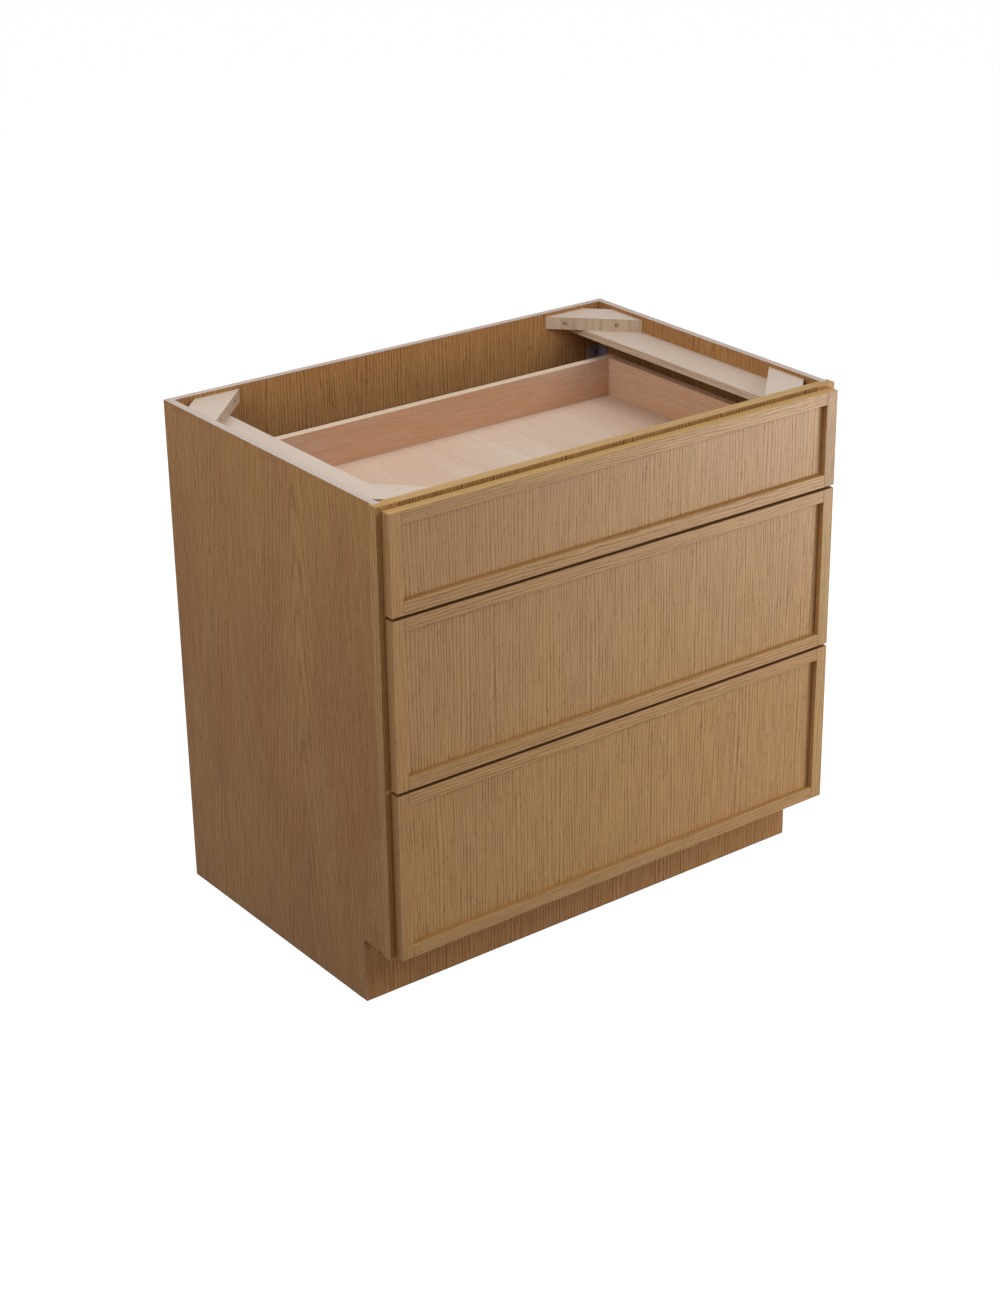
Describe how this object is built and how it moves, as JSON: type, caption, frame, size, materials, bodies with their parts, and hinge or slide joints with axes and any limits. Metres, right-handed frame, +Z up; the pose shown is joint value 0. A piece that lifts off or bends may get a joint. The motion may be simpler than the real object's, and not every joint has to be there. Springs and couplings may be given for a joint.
{
  "type": "three-drawer base cabinet",
  "caption": "Base cabinet with drawers on runners, oak face frame, slim-framed fronts, toe space and an open top for a worktop.",
  "frame": {"origin": "on the floor, under the middle of the whole width and depth, drawer fronts included", "axes": "+X to the right when facing the fronts, the fronts face -Y, +Z up"},
  "size_m": [0.9144, 0.628, 0.8763],
  "materials": {
    "oak_veneer_panel": "satin-lacquered oak veneer on plywood",
    "oak_frame": "satin-lacquered solid oak",
    "oak_front": "satin-lacquered oak, veneered panel",
    "maple_block": "sanded pale hardwood",
    "drawer_wood": "satin-lacquered reddish hardwood",
    "drawer_bottom_ply": "satin-lacquered pale plywood",
    "runner_steel": "zinc-plated steel",
    "bracket_steel": "zinc-plated steel",
    "clip_plastic": "moulded grey plastic",
    "lever_plastic": "moulded orange plastic",
    "screw_steel": "zinc-plated steel"
  },
  "bodies": {
    "root": {"side_panel_left": "oak_veneer_panel", "side_panel_right": "oak_veneer_panel", "back_panel": "oak_veneer_panel", "bottom_panel": "oak_veneer_panel", "toe_kick": "oak_veneer_panel", "stile_left": "oak_frame", "stile_right": "oak_frame", "top_rail": "oak_frame", "upper_mid_rail": "oak_frame", "lower_mid_rail": "oak_frame", "bottom_rail": "oak_frame", "corner_block_front_left": "maple_block", "corner_block_front_right": "maple_block", "corner_block_rear_left": "maple_block", "corner_block_rear_right": "maple_block", "side_rail_left": "maple_block", "side_rail_right": "maple_block", "rear_brackets": "bracket_steel", "cabinet_runners_left": "runner_steel", "cabinet_runners_right": "runner_steel", "carcass_screws": "screw_steel"},
    "top_drawer": {"top_front_panel": "oak_front", "top_front_frame": "oak_front", "top_box_side_left": "drawer_wood", "top_box_side_right": "drawer_wood", "top_box_front": "drawer_wood", "top_box_back": "drawer_wood", "top_box_bottom": "drawer_bottom_ply", "top_front_screws": "screw_steel", "top_drawer_runners": "runner_steel", "top_locking_clips": "clip_plastic"},
    "top_runner_middle": {"top_middle_runners": "runner_steel"},
    "top_lever_left": {"top_lever_left": "lever_plastic"},
    "top_lever_right": {"top_lever_right": "lever_plastic"},
    "middle_drawer": {"middle_front_panel": "oak_front", "middle_front_frame": "oak_front", "middle_box_side_left": "drawer_wood", "middle_box_side_right": "drawer_wood", "middle_box_front": "drawer_wood", "middle_box_back": "drawer_wood", "middle_box_bottom": "drawer_bottom_ply", "middle_front_screws": "screw_steel", "middle_drawer_runners": "runner_steel", "middle_locking_clips": "clip_plastic"},
    "middle_runner_middle": {"middle_middle_runners": "runner_steel"},
    "middle_lever_left": {"middle_lever_left": "lever_plastic"},
    "middle_lever_right": {"middle_lever_right": "lever_plastic"},
    "bottom_drawer": {"bottom_front_panel": "oak_front", "bottom_front_frame": "oak_front", "bottom_box_side_left": "drawer_wood", "bottom_box_side_right": "drawer_wood", "bottom_box_front": "drawer_wood", "bottom_box_back": "drawer_wood", "bottom_box_bottom": "drawer_bottom_ply", "bottom_front_screws": "screw_steel", "bottom_drawer_runners": "runner_steel", "bottom_locking_clips": "clip_plastic"},
    "bottom_runner_middle": {"bottom_middle_runners": "runner_steel"},
    "bottom_lever_left": {"bottom_lever_left": "lever_plastic"},
    "bottom_lever_right": {"bottom_lever_right": "lever_plastic"}
  },
  "joints": [
    {"name": "top_drawer_slide", "type": "slide", "parent": "root", "child": "top_drawer", "axis": [0, -1, 0], "range_m": [0, 0.508]},
    {"name": "top_runner_slide", "type": "slide", "parent": "root", "child": "top_runner_middle", "axis": [0, -1, 0], "range_m": [0, 0.254]},
    {"name": "top_lever_left_hinge", "type": "hinge", "parent": "top_drawer", "child": "top_lever_left", "pos_m": [-0.33881, -0.23615, 0.7168], "axis": [0, 0, 1], "range_deg": [0, 10], "stiffness_Nm_per_rad": 0.05},
    {"name": "top_lever_right_hinge", "type": "hinge", "parent": "top_drawer", "child": "top_lever_right", "pos_m": [0.33881, -0.23615, 0.7168], "axis": [0, 0, -1], "range_deg": [0, 10], "stiffness_Nm_per_rad": 0.05},
    {"name": "middle_drawer_slide", "type": "slide", "parent": "root", "child": "middle_drawer", "axis": [0, -1, 0], "range_m": [0, 0.508]},
    {"name": "middle_runner_slide", "type": "slide", "parent": "root", "child": "middle_runner_middle", "axis": [0, -1, 0], "range_m": [0, 0.254]},
    {"name": "middle_lever_left_hinge", "type": "hinge", "parent": "middle_drawer", "child": "middle_lever_left", "pos_m": [-0.33881, -0.23615, 0.42654], "axis": [0, 0, 1], "range_deg": [0, 10], "stiffness_Nm_per_rad": 0.05},
    {"name": "middle_lever_right_hinge", "type": "hinge", "parent": "middle_drawer", "child": "middle_lever_right", "pos_m": [0.33881, -0.23615, 0.42654], "axis": [0, 0, -1], "range_deg": [0, 10], "stiffness_Nm_per_rad": 0.05},
    {"name": "bottom_drawer_slide", "type": "slide", "parent": "root", "child": "bottom_drawer", "axis": [0, -1, 0], "range_m": [0, 0.508]},
    {"name": "bottom_runner_slide", "type": "slide", "parent": "root", "child": "bottom_runner_middle", "axis": [0, -1, 0], "range_m": [0, 0.254]},
    {"name": "bottom_lever_left_hinge", "type": "hinge", "parent": "bottom_drawer", "child": "bottom_lever_left", "pos_m": [-0.33881, -0.23615, 0.1639], "axis": [0, 0, 1], "range_deg": [0, 10], "stiffness_Nm_per_rad": 0.05},
    {"name": "bottom_lever_right_hinge", "type": "hinge", "parent": "bottom_drawer", "child": "bottom_lever_right", "pos_m": [0.33881, -0.23615, 0.1639], "axis": [0, 0, -1], "range_deg": [0, 10], "stiffness_Nm_per_rad": 0.05}
  ],
  "couplings": [
    {"joint": "top_runner_slide", "follows": "top_drawer_slide", "ratio": 0.5},
    {"joint": "middle_runner_slide", "follows": "middle_drawer_slide", "ratio": 0.5},
    {"joint": "bottom_runner_slide", "follows": "bottom_drawer_slide", "ratio": 0.5}
  ]
}
